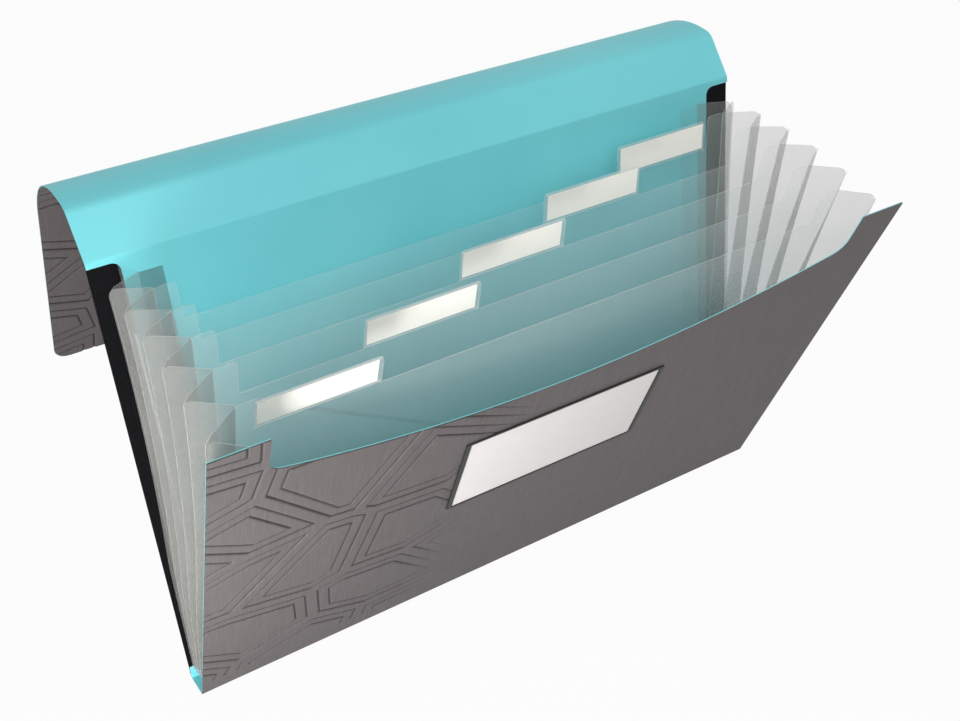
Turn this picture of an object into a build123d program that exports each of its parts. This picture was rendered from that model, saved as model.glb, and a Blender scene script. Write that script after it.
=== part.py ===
"""Accordion file folder for A4 sheets, standing open on its spine.

The cover is one folded sheet of two plies: a grey skin outside and a turquoise lining inside.
It makes the spine, the back, the front with its finger scoop, and the long flap that is thrown
over to the rear. Five clear dividers with index tabs fan out between front and back, and a clear
gusset closes each side with six pleats. Every pleat is two tapering leaves that meet at its fold.

X runs along the spine, the front faces -Y and Z is up. The origin is the middle of the spine's
underside. Lengths are millimetres and angles are degrees.
"""
import os
from math import atan2, cos, degrees, hypot, radians, sin, tan

from build123d import *

# cover sheet
WIDTH = 340.0            # cover, edge to edge
PLY = 0.4                # each of the two plies
SPINE_DEPTH = 14.0       # front crease to back, across the underside
FRONT_HEIGHT = 217.6     # front crease to its top corners
BACK_HEIGHT = 223.9      # floor to the flap's first crease
FRONT_ANGLE = 29.36      # front panel, forward from upright
CREASE_GAP = 0.5         # a panel ends this far from its crease line

# finger scoop in the front's top edge
SCOOP_INSET = 24.5       # scoop's ends, in from the cover's sides
SCOOP_FLOOR = 174.0      # lowest point of the scoop above the crease
SCOOP_RADIUS = 500.0
SCOOP_FILLET = 9.0

# cut-outs in the back's two margins, each with a flat elastic band behind it
NOTCH_DEPTH = 14.0
NOTCH_BOTTOM = 7.0
NOTCH_TOP_LAND = 2.7     # land left between the cut-out and the crease
NOTCH_FILLET = 4.0
BAND_WIDTH = 13.0
BAND_THICK = 0.8
BAND_FOOT = 0.6          # band's lower end above the floor
BAND_HEAD = 1.2          # band's upper end below the crease

# flap, from the first crease outward
ROOT_LENGTH = 23.5
ROOT_ANGLE = 33.0        # root strip, backward from upright
FOLD_TURN = 37.0         # further turn at the second crease
BEND_TURN = 77.0         # turn of the soft bend after it
BEND_LENGTH = 70.0
BEND_STRIPS = 4
MAIN_LENGTH = 124.0
FLAP_CORNER = 8.0
BEND_GAP = 0.2           # gap on each side of a bend line

# dividers
POCKETS = 6
DIVIDER_FILM = 0.3
DIVIDER_SEAT = 0.4       # divider's foot above the spine's lining
DIVIDER_TOP = 196.0      # body's top edge above its foot
EAR_WIDTH = 9.7          # raised margin that carries the gusset
EAR_CORNER = 2.0
TAB_START = 54.5         # middle of the front divider's tab, in from the left side
TAB_END = 59.5           # middle of the rear divider's tab, in from the right side
TAB_WIDTH = 54.0
TAB_HEIGHT = 16.5
TAB_CORNER = 2.0
TAB_SINK = 5.0           # rounded blanks reach this far down into the body

# clear sleeve on each tab, and its card
CARD_WIDTH = 51.0
CARD_HEIGHT = 13.0
CARD_THICK = 0.25
CARD_PLAY = 0.1          # clearance on every side of the card
SLEEVE_WALL = 0.2
SLEEVE_RIM = 1.0

# side gussets
GUSSET_INSET = 20.0      # inner fold lines, in from the cover's sides
GUSSET_FILM = 0.25
GUSSET_FOOT = 6.0
GUSSET_TOP = 214.0
FOLD_REACH = 14.5        # outer fold beyond the inner one at the top, as it stands
LEAF_OFFSET = 0.3        # leaf's fold line off the face that it is welded to
LEAF_GAP = 0.15          # leaf's root edge off its fold line
LEAF_MEET = 0.5          # leaf's outer edge off the middle of the pocket
FLANGE_WIDTH = 10.7      # strip that is welded to the cover's lining
FRONT_FLANGE_TOP = 186.0

# label holder on the front
LABEL_WIDTH = 107.0
LABEL_HEIGHT = 56.7
LABEL_X = 2.1            # its middle, from the middle of the front
LABEL_MIDDLE = 123.7     # its middle above the crease
LABEL_SIDE = 2.7         # visible bars at the two ends
LABEL_EDGE = 1.2         # visible bars above and below
LABEL_RAIL = 0.7
LABEL_LIP = 0.4
LABEL_CARD_THICK = 0.3
LABEL_CORNER = 1.0

# worked out from the above
SHEET = 2 * PLY
HALF_WIDTH = WIDTH / 2
SCOOP_WIDTH = WIDTH - 2 * SCOOP_INSET
GUSSET_LINE = HALF_WIDTH - GUSSET_INSET
HALF_SPINE = SPINE_DEPTH / 2
PIVOT_LIFT = SHEET + DIVIDER_SEAT
STEP_ANGLE = FRONT_ANGLE / POCKETS
DIVIDERS = POCKETS - 1
TAB_FIRST = TAB_START - HALF_WIDTH
TAB_PITCH = (WIDTH - TAB_START - TAB_END) / (DIVIDERS - 1)
EAR_INSET = GUSSET_LINE - DIVIDER_FILM
SQUARE = 90.0            # a right angle

os.makedirs("parts", exist_ok=True)


def save(name, *solids):
    """Write one node, as a single solid or as a group of separate ones."""
    shape = solids[0] if len(solids) == 1 else Compound(children=list(solids))
    shape.label = name
    export_step(shape, f"parts/{name}.step")


def leaning(lean, y, z):
    """Plane of a panel: x along the spine, y up the panel, z to the front."""
    a = radians(lean)
    return Plane(origin=(0, y, z), x_dir=(1, 0, 0), z_dir=(0, -cos(a), -sin(a)))


def slab(outline, plane, near, far):
    """Plate of the outline between two distances off a plane."""
    return extrude(plane * Pos(0, 0, near) * outline, amount=far - near, dir=plane.z_dir).solid()


def block(x0, x1, y0, y1):
    """Rectangle between two corners."""
    return Pos((x0 + x1) / 2, (y0 + y1) / 2) * Rectangle(x1 - x0, y1 - y0)


def rounded(x0, x1, y0, y1, r):
    return Pos((x0 + x1) / 2, (y0 + y1) / 2) * RectangleRounded(x1 - x0, y1 - y0, r)


def panel(j):
    """Lean, foot and plane of panel j, counted from the front (0) to the back (POCKETS)."""
    lean = FRONT_ANGLE - j * STEP_ANGLE
    y = -HALF_SPINE + j * SPINE_DEPTH / POCKETS
    z = PLY if j in (0, POCKETS) else PIVOT_LIFT
    return lean, (y, z), leaning(lean, y, z)


# spine: the skin runs under the back panel, the lining ends against it
save("spine_outer", slab(block(-HALF_WIDTH, HALF_WIDTH, -HALF_SPINE + CREASE_GAP, HALF_SPINE + PLY), Plane.XY, 0, PLY))
save("spine_lining", slab(block(-HALF_WIDTH, HALF_WIDTH, -HALF_SPINE + CREASE_GAP, HALF_SPINE), Plane.XY, PLY, SHEET))

# back: two margins are cut away between the spine and the crease
back_plane = leaning(0, HALF_SPINE, 0)
notch_x = HALF_WIDTH - NOTCH_DEPTH
notch_top = BACK_HEIGHT - NOTCH_TOP_LAND
back_outline = block(-HALF_WIDTH, HALF_WIDTH, 0, BACK_HEIGHT - CREASE_GAP)
for side in (-1, 1):
    cut = rounded(notch_x, HALF_WIDTH + NOTCH_DEPTH, NOTCH_BOTTOM, notch_top, NOTCH_FILLET)
    back_outline -= cut if side > 0 else mirror(cut, about=Plane.YZ)
save("back_outer", slab(back_outline - block(-HALF_WIDTH, HALF_WIDTH, 0, PLY), back_plane, -PLY, 0))
save("back_lining", slab(back_outline - block(-HALF_WIDTH, HALF_WIDTH, 0, SHEET), back_plane, 0, PLY))
for side, name in ((-1, "left_band"), (1, "right_band")):
    x0, x1 = sorted((side * HALF_WIDTH, side * (HALF_WIDTH - BAND_WIDTH)))
    save(name, slab(block(x0, x1, BAND_FOOT, BACK_HEIGHT - BAND_HEAD), back_plane, -PLY - BAND_THICK, -PLY))

# front with its scoop
front_lean, front_foot, front_plane = panel(0)
scoop_rise = SCOOP_RADIUS - (SCOOP_RADIUS**2 - (SCOOP_WIDTH / 2) ** 2) ** 0.5
scoop_end = SCOOP_FLOOR + scoop_rise
above = FRONT_HEIGHT + NOTCH_DEPTH
half_scoop = SCOOP_WIDTH / 2
scoop_wire = Polyline((half_scoop, scoop_end), (half_scoop, above), (-half_scoop, above), (-half_scoop, scoop_end))
scoop_wire += ThreePointArc((-half_scoop, scoop_end), (0, SCOOP_FLOOR), (half_scoop, scoop_end))
scoop = make_face(scoop_wire)
scoop = fillet(scoop.vertices().sort_by(Axis.Y)[:2], SCOOP_FILLET)
front_outline = block(-HALF_WIDTH, HALF_WIDTH, CREASE_GAP, FRONT_HEIGHT) - scoop
save("front_outer", slab(front_outline, front_plane, 0, PLY))
save("front_lining", slab(front_outline, front_plane, -PLY, 0))

# label holder: rails on three sides under a lip, open at the right end for its card
lx0, lx1 = LABEL_X - LABEL_WIDTH / 2, LABEL_X + LABEL_WIDTH / 2
ly0, ly1 = LABEL_MIDDLE - LABEL_HEIGHT / 2, LABEL_MIDDLE + LABEL_HEIGHT / 2
label_slot = LABEL_CARD_THICK + 2 * CARD_PLAY
label_blank = rounded(lx0, lx1, ly0, ly1, LABEL_CORNER)
label_void = block(lx0 + LABEL_RAIL, lx1 + LABEL_RAIL, ly0 + LABEL_RAIL, ly1 - LABEL_RAIL)
label_window = block(lx0 + LABEL_SIDE, lx1 - LABEL_SIDE, ly0 + LABEL_EDGE, ly1 - LABEL_EDGE)
rails = slab(label_blank - label_void, front_plane, PLY, PLY + label_slot + LABEL_LIP)
lip = slab(label_blank - label_window, front_plane, PLY + label_slot, PLY + label_slot + LABEL_LIP)
save("label_frame", (rails + lip).solid())
label_card = block(
    lx0 + LABEL_RAIL + CARD_PLAY, lx1 - LABEL_RAIL,
    ly0 + LABEL_RAIL + CARD_PLAY, ly1 - LABEL_RAIL - CARD_PLAY,
)
save("label_card", slab(label_card, front_plane, PLY + CARD_PLAY, PLY + CARD_PLAY + LABEL_CARD_THICK))

# dividers, each with one tab, its clear sleeve and its card
half_film = DIVIDER_FILM / 2
slot_front = half_film + CARD_THICK + 2 * CARD_PLAY
for k in range(1, DIVIDERS + 1):
    lean, foot, plane = panel(k)
    middle = TAB_FIRST + (k - 1) * TAB_PITCH
    t0, t1 = middle - TAB_WIDTH / 2, middle + TAB_WIDTH / 2
    tab_top = DIVIDER_TOP + TAB_HEIGHT
    tab = rounded(t0, t1, DIVIDER_TOP - TAB_SINK, tab_top, TAB_CORNER)
    film = block(-EAR_INSET, EAR_INSET, 0, DIVIDER_TOP) + tab
    for e0, e1 in ((-EAR_INSET, EAR_WIDTH - EAR_INSET), (EAR_INSET - EAR_WIDTH, EAR_INSET)):
        film += rounded(e0, e1, DIVIDER_TOP - TAB_SINK, GUSSET_TOP, EAR_CORNER)
    rim_foot = tab_top - CARD_HEIGHT - 2 * (SLEEVE_RIM + CARD_PLAY)
    sleeve = tab & block(t0, t1, rim_foot, tab_top)
    # the sleeve opens toward the middle of the folder
    inward = 1 if middle < 0 else -1
    stop = t0 if inward > 0 else t1
    v0, v1 = sorted((stop + inward * SLEEVE_RIM, stop + inward * (TAB_WIDTH + SLEEVE_RIM)))
    void = block(v0, v1, rim_foot + SLEEVE_RIM, tab_top - SLEEVE_RIM)
    body = slab(film, plane, -half_film, half_film)
    body += slab(sleeve - void, plane, half_film, slot_front + SLEEVE_WALL)
    body += slab(sleeve, plane, slot_front, slot_front + SLEEVE_WALL)
    save(f"divider_{k}", body.solid())
    c0, c1 = sorted((stop + inward * (SLEEVE_RIM + CARD_PLAY), stop + inward * (SLEEVE_RIM + CARD_PLAY + CARD_WIDTH)))
    card = block(c0, c1, rim_foot + SLEEVE_RIM + CARD_PLAY, tab_top - SLEEVE_RIM - CARD_PLAY)
    save(f"tab_card_{k}", slab(card, plane, half_film + CARD_PLAY, half_film + CARD_PLAY + CARD_THICK))

# strips of the gussets that are welded to the lining
flange_inner = EAR_INSET - FLANGE_WIDTH
back_flanges, front_flanges = [], []
for side in (-1, 1):
    x0, x1 = sorted((side * flange_inner, side * EAR_INSET))
    back_flanges.append(slab(block(x0, x1, GUSSET_FOOT, GUSSET_TOP), back_plane, PLY, PLY + GUSSET_FILM))
    front_flanges.append(slab(block(x0, x1, GUSSET_FOOT, FRONT_FLANGE_TOP), front_plane, -PLY - GUSSET_FILM, -PLY))
save("back_flanges", *back_flanges)
save("front_flanges", *front_flanges)


def leaf(j, toward, side):
    """One leaf of a pleat: welded to panel j, on its front (toward +1) or rear (-1) face.

    Its outer edge lies just short of the plane that halves the pocket, so it tapers to the foot.
    """
    lean, foot, plane = panel(j)
    other_lean, other_foot, _ = panel(j - toward)
    a = radians(lean)
    half = (foot[0] + other_foot[0]) / 2 - foot[0], (foot[1] + other_foot[1]) / 2 - foot[1]
    # halving plane in this panel's frame: distance off the panel at its foot, and its slope
    off = toward * (-half[0] * cos(a) - half[1] * sin(a))
    up = -half[0] * sin(a) + half[1] * cos(a)
    slope = tan(radians(STEP_ANGLE) / 2)
    face = PLY if j in (0, POCKETS) else 0
    axis_off = face + LEAF_OFFSET

    def room(r):
        return off + (r - up) * slope - axis_off - LEAF_MEET

    swing = atan2(room(GUSSET_TOP), FOLD_REACH)
    wide = [room(r) / sin(swing) for r in (GUSSET_FOOT, GUSSET_TOP)]
    out = Vector(side * cos(swing), 0, 0) + plane.z_dir * (toward * sin(swing))
    origin = plane.origin + Vector(side * GUSSET_LINE, 0, 0) + plane.z_dir * (toward * axis_off)
    leaf_plane = Plane(origin=origin, x_dir=out, z_dir=out.cross(plane.y_dir))
    outline = make_face(Polyline(
        (LEAF_GAP, GUSSET_FOOT), (wide[0], GUSSET_FOOT), (wide[1], GUSSET_TOP), (LEAF_GAP, GUSSET_TOP), close=True
    ))
    return slab(outline, leaf_plane, -GUSSET_FILM / 2, GUSSET_FILM / 2)


for p in range(1, POCKETS + 1):
    for side, name in ((-1, "left"), (1, "right")):
        save(f"{name}_pleat_{p}_front", leaf(p - 1, -1, side))
        save(f"{name}_pleat_{p}_rear", leaf(p, 1, side))


def along(point, heading, distance):
    """Point reached in the flap's section; a heading of 0 is up and 90 is to the rear."""
    a = radians(heading)
    return point[0] + distance * sin(a), point[1] + distance * cos(a)


def section(points):
    """Flap piece from its outline in the Y-Z section, across the full width."""
    return slab(make_face(Polyline(*points, close=True)), Plane.YZ, -HALF_WIDTH, HALF_WIDTH)


def straight_piece(start, heading, length, gap0, gap1, inner, outer):
    """Flat ply between two offsets to the lining's side of the middle surface."""
    p, q = along(start, heading, gap0), along(start, heading, length - gap1)
    return section([along(p, heading - SQUARE, inner), along(q, heading - SQUARE, inner),
                    along(q, heading - SQUARE, outer), along(p, heading - SQUARE, outer)])


crease = (HALF_SPINE, BACK_HEIGHT)
fold = along(crease, ROOT_ANGLE, ROOT_LENGTH)
save("flap_root_outer", straight_piece(crease, ROOT_ANGLE, ROOT_LENGTH, CREASE_GAP, CREASE_GAP, -PLY, 0))
save("flap_root_lining", straight_piece(crease, ROOT_ANGLE, ROOT_LENGTH, CREASE_GAP, CREASE_GAP, 0, PLY))

# soft bend: arc strips about one centre on the grey side
bend_radius = BEND_LENGTH / radians(BEND_TURN)
bend_start = ROOT_ANGLE + FOLD_TURN
bend_centre = along(fold, bend_start + SQUARE, bend_radius)
strip_turn = BEND_TURN / BEND_STRIPS


def on_bend(turn, offset):
    return along(bend_centre, bend_start + turn - SQUARE, bend_radius + offset)


def bend_piece(t0, t1, inner, outer):
    mid = (t0 + t1) / 2
    a, b, c, d = on_bend(t0, inner), on_bend(t1, inner), on_bend(t1, outer), on_bend(t0, outer)
    wire = ThreePointArc(a, on_bend(mid, inner), b) + Line(b, c)
    wire += ThreePointArc(c, on_bend(mid, outer), d) + Line(d, a)
    return slab(make_face(wire), Plane.YZ, -HALF_WIDTH, HALF_WIDTH)


for i in range(BEND_STRIPS):
    gap0 = degrees((CREASE_GAP if i == 0 else BEND_GAP) / bend_radius)
    gap1 = degrees(BEND_GAP / bend_radius)
    t0, t1 = i * strip_turn + gap0, (i + 1) * strip_turn - gap1
    save(f"flap_strip_{i + 1}_outer", bend_piece(t0, t1, -PLY, 0))
    save(f"flap_strip_{i + 1}_lining", bend_piece(t0, t1, 0, PLY))

# main part of the flap, with its two free corners rounded
main_heading = bend_start + BEND_TURN
main_start = on_bend(BEND_TURN, 0)
m = radians(main_heading)
main_plane = Plane(origin=(0, *main_start), x_dir=(1, 0, 0), z_dir=(0, -cos(m), sin(m)))
# this plane's y runs down the flap's middle surface and its z to the lining's side
main_outline = block(-HALF_WIDTH, HALF_WIDTH, BEND_GAP, MAIN_LENGTH)
main_outline = fillet(main_outline.vertices().sort_by(Axis.Y)[-2:], FLAP_CORNER)
save("flap_outer", slab(main_outline, main_plane, -PLY, 0))
save("flap_lining", slab(main_outline, main_plane, 0, PLY))
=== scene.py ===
# %% [markdown]
# # An accordion file folder, dressed in Blender
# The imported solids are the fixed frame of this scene: they say where every sheet of the folder
# stands and how it moves. This lesson puts thin, bending, coloured sheets in their place.
# Lengths are written in millimetres and turned into metres once, when a mesh is made.

# %% Load the frame
from math import cos, radians, sin, tan

import bmesh
import bpy
import numpy as np
from mathutils import Matrix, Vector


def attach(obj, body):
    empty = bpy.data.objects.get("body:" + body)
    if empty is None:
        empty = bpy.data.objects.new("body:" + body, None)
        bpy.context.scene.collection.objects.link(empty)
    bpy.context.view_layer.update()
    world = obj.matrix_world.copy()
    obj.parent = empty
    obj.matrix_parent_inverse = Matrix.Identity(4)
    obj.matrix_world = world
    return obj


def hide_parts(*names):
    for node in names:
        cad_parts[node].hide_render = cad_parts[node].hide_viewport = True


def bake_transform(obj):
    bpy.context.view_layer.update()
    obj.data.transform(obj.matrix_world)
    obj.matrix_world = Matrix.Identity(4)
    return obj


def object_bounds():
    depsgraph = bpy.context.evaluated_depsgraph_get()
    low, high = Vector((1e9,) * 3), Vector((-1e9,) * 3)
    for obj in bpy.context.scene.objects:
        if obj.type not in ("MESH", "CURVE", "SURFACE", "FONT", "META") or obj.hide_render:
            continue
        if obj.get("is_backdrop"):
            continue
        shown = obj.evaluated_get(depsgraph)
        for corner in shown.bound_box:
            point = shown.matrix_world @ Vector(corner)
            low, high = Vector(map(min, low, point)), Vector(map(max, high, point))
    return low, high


MM = 0.001
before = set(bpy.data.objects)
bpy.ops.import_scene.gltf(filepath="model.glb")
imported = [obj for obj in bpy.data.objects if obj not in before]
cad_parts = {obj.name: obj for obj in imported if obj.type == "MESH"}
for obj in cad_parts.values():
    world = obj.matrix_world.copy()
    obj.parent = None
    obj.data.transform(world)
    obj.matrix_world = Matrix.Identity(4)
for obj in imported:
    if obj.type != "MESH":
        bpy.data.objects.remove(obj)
cad_low, cad_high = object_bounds()
print("solids' box, m:", [round(b - a, 4) for a, b in zip(cad_low, cad_high)])

# %% [markdown]
# ## The camera
# A product picture is taken from one spot with one lens. Its place and turn were worked out from
# the corners of the cover, so the camera is set by its own three axes and needs no aiming.

# %% Camera
PHOTO_WIDTH, SENSOR = 960.0, 36.0     # pixels across the picture, millimetres of sensor
FOCAL_PIXELS = 1271.7
NEAREST, FURTHEST = 0.01, 50.0        # what the camera sees, metres


def standing(side, up, back, place):
    """World matrix: three axes as columns, then the place, given in millimetres."""
    turn = np.eye(4)
    turn[:3] = np.stack([side, up, back, np.asarray(place, float) * MM], -1)
    return Matrix(turn.tolist())


spot = np.array([-263.92, -486.92, 426.30])
right = np.array([0.84875695, -0.52178038, -0.08577221])
up = np.array([0.31855065, 0.3750687, 0.8705452])
ahead = np.array([0.42206293, 0.76620409, -0.48455565])
lens = bpy.data.cameras.new("photo_camera")
lens.sensor_width, lens.sensor_fit = SENSOR, "HORIZONTAL"
lens.lens = FOCAL_PIXELS / PHOTO_WIDTH * SENSOR
lens.clip_start, lens.clip_end = NEAREST, FURTHEST
camera = bpy.data.objects.new("photo_camera", lens)
camera.matrix_world = standing(right, up, -ahead, spot)
bpy.context.scene.collection.objects.link(camera)
bpy.context.scene.camera = camera
print("lens, mm:", round(lens.lens, 2))

# %% [markdown]
# ## Light and floor
# A catalogue picture has soft light from a big window-like lamp, a little fill from all round and
# a white sweep. The sweep is full white only where it is seen: straight on, in a gloss or through
# a clear sheet. The folder itself gets just a low fill from it, so it isn't flooded, and a small
# share of the floor stays a plain lit surface that keeps a soft shadow.


# %% Colours and nodes
def linear(code):
    """sRGB hex to linear: c / 12.92 up to 0.04045, else ((c + 0.055) / 1.055) to the power 2.4."""
    c = np.array([int(code[i:i + 2], 16) for i in (1, 3, 5)]) / 255
    c = np.where(c <= 0.04045, c / 12.92, ((c + 0.055) / 1.055) ** 2.4)
    return (*c.tolist(), 1.0)


def feed(tree, node, values=None, links=None):
    """Fills sockets of a node with plain values, and feeds others from the sockets in links."""
    for key, value in (values or {}).items():
        node.inputs[key].default_value = value
    for key, source in (links or {}).items():
        tree.links.new(source, node.inputs[key])


def add(tree, kind, values=None, links=None, **settings):
    """One node: settings are its own properties, values fill sockets, links feed them."""
    made = tree.nodes.new(kind)
    for key, value in settings.items():
        setattr(made, key, value)
    feed(tree, made, values, links)
    return made


print("white in linear light:", linear("#FFFFFF"))

# %% World
FILL = 0.34               # strength of the light from all round


def seen(tree):
    """Socket that is 1 for rays that show a thing, the largest of camera, gloss and transmission."""
    path = add(tree, "ShaderNodeLightPath")
    largest = path.outputs["Is Camera Ray"]
    for kind in ("Is Glossy Ray", "Is Transmission Ray"):
        both = add(tree, "ShaderNodeMath", links={0: largest, 1: path.outputs[kind]}, operation="MAXIMUM")
        largest = both.outputs[0]
    return largest


scene = bpy.context.scene
scene.view_settings.view_transform = "Standard"
scene.world = bpy.data.worlds.new("white_sweep")
scene.world.use_nodes = True
tree = scene.world.node_tree
tree.nodes.clear()
fill_or_white = add(tree, "ShaderNodeMapRange", {"To Min": FILL, "To Max": 1.0}, {"Value": seen(tree)})
sky = add(tree, "ShaderNodeBackground", {"Color": linear("#FFFFFF")}, {"Strength": fill_or_white.outputs[0]})
add(tree, "ShaderNodeOutputWorld", links={"Surface": sky.outputs[0]})
print("fill strength:", FILL)


# %% Lamps
def lamp(name, place, aim, size, watts):
    """Square soft lamp at place, looking at aim; both in millimetres."""
    light = bpy.data.lights.new(name, "AREA")
    light.size, light.energy = size * MM, watts
    made = bpy.data.objects.new(name, light)
    back = np.array(place, float) - np.array(aim, float)
    back /= np.linalg.norm(back)
    side = np.cross([0, 0, 1], back)
    side /= np.linalg.norm(side)
    made.matrix_world = standing(side, np.cross(back, side), back, place)
    scene.collection.objects.link(made)
    return made


key_lamp = lamp("key_lamp", (-440, -960, 760), (-20, 0, 180), 700, 6.3)
low_lamp = lamp("low_lamp", (-320, -240, 55), (-130, -60, 90), 120, 1.15)
top_lamp = lamp("top_lamp", (120, -380, 1000), (20, 60, 240), 600, 2.1)
print("lamps:", key_lamp.name, low_lamp.name, top_lamp.name)

# %% Floor
FLOOR_SIDE, FLOOR_DROP = 9000.0, 0.2
SWEEP_SHARE = 0.96        # part of the floor's look that is plain white where it is seen
floor_mat = bpy.data.materials.new("painted_sweep")
floor_mat.use_nodes = True
tree = floor_mat.node_tree
tree.nodes.clear()
white = add(tree, "ShaderNodeMath", {1: SWEEP_SHARE}, {0: seen(tree)}, operation="MULTIPLY")
paint = add(tree, "ShaderNodeBsdfDiffuse", {"Color": linear("#BEBEBC")})
glow = add(tree, "ShaderNodeEmission", {"Color": linear("#FFFFFF"), "Strength": 1.0})
mix = add(tree, "ShaderNodeMixShader", links={0: white.outputs[0], 1: paint.outputs[0], 2: glow.outputs[0]})
add(tree, "ShaderNodeOutputMaterial", links={"Surface": mix.outputs[0]})
half_floor = FLOOR_SIDE / 2 * MM
floor_mesh = bpy.data.meshes.new("floor")
corners = np.array([[-1, -1, 0], [1, -1, 0], [1, 1, 0], [-1, 1, 0]]) * half_floor
floor_mesh.from_pydata(corners - [0, 0, FLOOR_DROP * MM], [], [[0, 1, 2, 3]])
floor_mesh.materials.append(floor_mat)
floor = bpy.data.objects.new("floor", floor_mesh)
scene.collection.objects.link(floor)
floor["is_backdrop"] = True
print("floor side, m:", FLOOR_SIDE * MM)

# %% [markdown]
# ## The cover's grey skin
# The outside is polypropylene sheet in warm grey, calendered with a fine brushed grain that runs
# up the panels. Noise that is squeezed across and drawn out along the sheet gives the same streaks
# on every panel, because the grain follows X on all of them. The grain drives colour, roughness
# and a very low bump. Grooves of the pressed pattern are narrower than the mesh can show, so two
# ramps over the distance from a facet's wall draw them: one paints the shade of their floor into
# the colour, the other draws their sharp sides as a bump.

# %% Grey skin
GRAIN_ACROSS, GRAIN_ALONG = 0.7, 16.0     # millimetres; a little coarser than real, so that it shows
GRAIN_HEIGHT = 0.05                       # of its bump, millimetres


def new_material(name):
    """A material, its node tree, its Principled shader and a socket of Object coordinates."""
    mat = bpy.data.materials.new(name)
    mat.use_nodes = True
    tree = mat.node_tree
    return mat, tree, tree.nodes["Principled BSDF"], add(tree, "ShaderNodeTexCoord").outputs["Object"]


grey_skin, tree, shader, place = new_material("brushed_grey_polypropylene")
stretch = add(tree, "ShaderNodeMapping",
              {"Scale": (1 / (GRAIN_ACROSS * MM), 1 / (GRAIN_ALONG * MM), 1 / (GRAIN_ALONG * MM))},
              {"Vector": place})
streaks = add(tree, "ShaderNodeTexNoise", {"Scale": 1.0, "Detail": 4.0, "Roughness": 0.65},
              {"Vector": stretch.outputs[0]})
tone = add(tree, "ShaderNodeMapRange", {"From Min": 0.3, "From Max": 0.7}, {"Value": streaks.outputs[0]})
colour = add(tree, "ShaderNodeMix", {6: linear("#544E4F"), 7: linear("#605A5B")}, {0: tone.outputs[0]},
             data_type="RGBA")
gloss = add(tree, "ShaderNodeMapRange", {"To Min": 0.62, "To Max": 0.48}, {"Value": streaks.outputs[0]})
print("material:", grey_skin.name, "grain, mm:", GRAIN_ACROSS)

# %% Grooves of the grey skin
PLASTIC_IOR = 1.49                        # polypropylene
BAR_EDGE, INNER_EDGE = 3.2, 8.8           # middles of the two grooves, from a facet's wall, millimetres
# painted shade: SHADE_LEVELS set how dark the colour is drawn round each groove's middle, where a narrow
# groove holds shade
SHADE_LEVELS = [(-0.5, 0.0), (-0.2, 0.9), (0.2, 0.9), (0.6, 0.0)]     # off a groove's middle, darkness
SLOPE = 0.7                               # a groove's side, from its middle, millimetres
BAR_LEVEL, FACET_LEVEL, INNER_LEVEL = 0.8, 0.5, 0.7     # beside the wall, between the grooves, inside
LINE_HEIGHT, RAMP_END = 0.5, 12.0         # relief drawn by the material, reach of its ramps, millimetres
shade_stops = [(edge + off, level) for edge in (BAR_EDGE, INNER_EDGE) for off, level in SHADE_LEVELS]
rise_stops = [(BAR_EDGE - SLOPE, BAR_LEVEL), (BAR_EDGE, 0.0), (BAR_EDGE + SLOPE, FACET_LEVEL),
              (INNER_EDGE - SLOPE, FACET_LEVEL), (INNER_EDGE, 0.0), (INNER_EDGE + SLOPE, INNER_LEVEL)]
wall_away = add(tree, "ShaderNodeAttribute", attribute_name="wall_distance")
pressing = add(tree, "ShaderNodeAttribute", attribute_name="relief_strength")
reach = add(tree, "ShaderNodeMapRange", {"From Max": RAMP_END}, {"Value": wall_away.outputs["Fac"]})
drawn = []
for stops in (shade_stops, rise_stops):
    ramp = add(tree, "ShaderNodeValToRGB", links={0: reach.outputs[0]})
    marks = ramp.color_ramp.elements
    for away, level in stops:
        marks.new(away / RAMP_END).color = (level, level, level, 1.0)
    for end, (_, level) in ((0, stops[0]), (-1, stops[-1])):
        marks[end].color = (level, level, level, 1.0)
    drawn.append(add(tree, "ShaderNodeMath", links={0: ramp.outputs[0], 1: pressing.outputs["Fac"]},
                     operation="MULTIPLY"))
painted_groove_shade, lift = drawn
# painted shade: the colour is mixed toward near-black on the grooves' floor, where a narrow groove would
# hold shade
colour = add(tree, "ShaderNodeMix", {7: linear("#2E2A2A")}, {0: painted_groove_shade.outputs[0], 6: colour.outputs[2]},
             data_type="RGBA")
bump = add(tree, "ShaderNodeBump", {"Strength": 0.6, "Distance": GRAIN_HEIGHT * MM},
           {"Height": streaks.outputs[0]})
bump = add(tree, "ShaderNodeBump", {"Strength": 1.0, "Distance": LINE_HEIGHT * MM},
           {"Height": lift.outputs[0], "Normal": bump.outputs[0]})
feed(tree, shader, {"IOR": PLASTIC_IOR, "Specular IOR Level": 0.3},
     {"Base Color": colour.outputs[2], "Roughness": gloss.outputs[0], "Normal": bump.outputs[0]})
print("grooves, mm from a wall:", BAR_EDGE, INNER_EDGE)

# %% [markdown]
# ## The turquoise lining
# Inside, the same kind of sheet is turquoise with a smooth matt finish. It has only a slight cloud
# in its colour and a fine matt grain. The cut edges of the sheet show this colour too, a little
# brighter because they catch the light.

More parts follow.
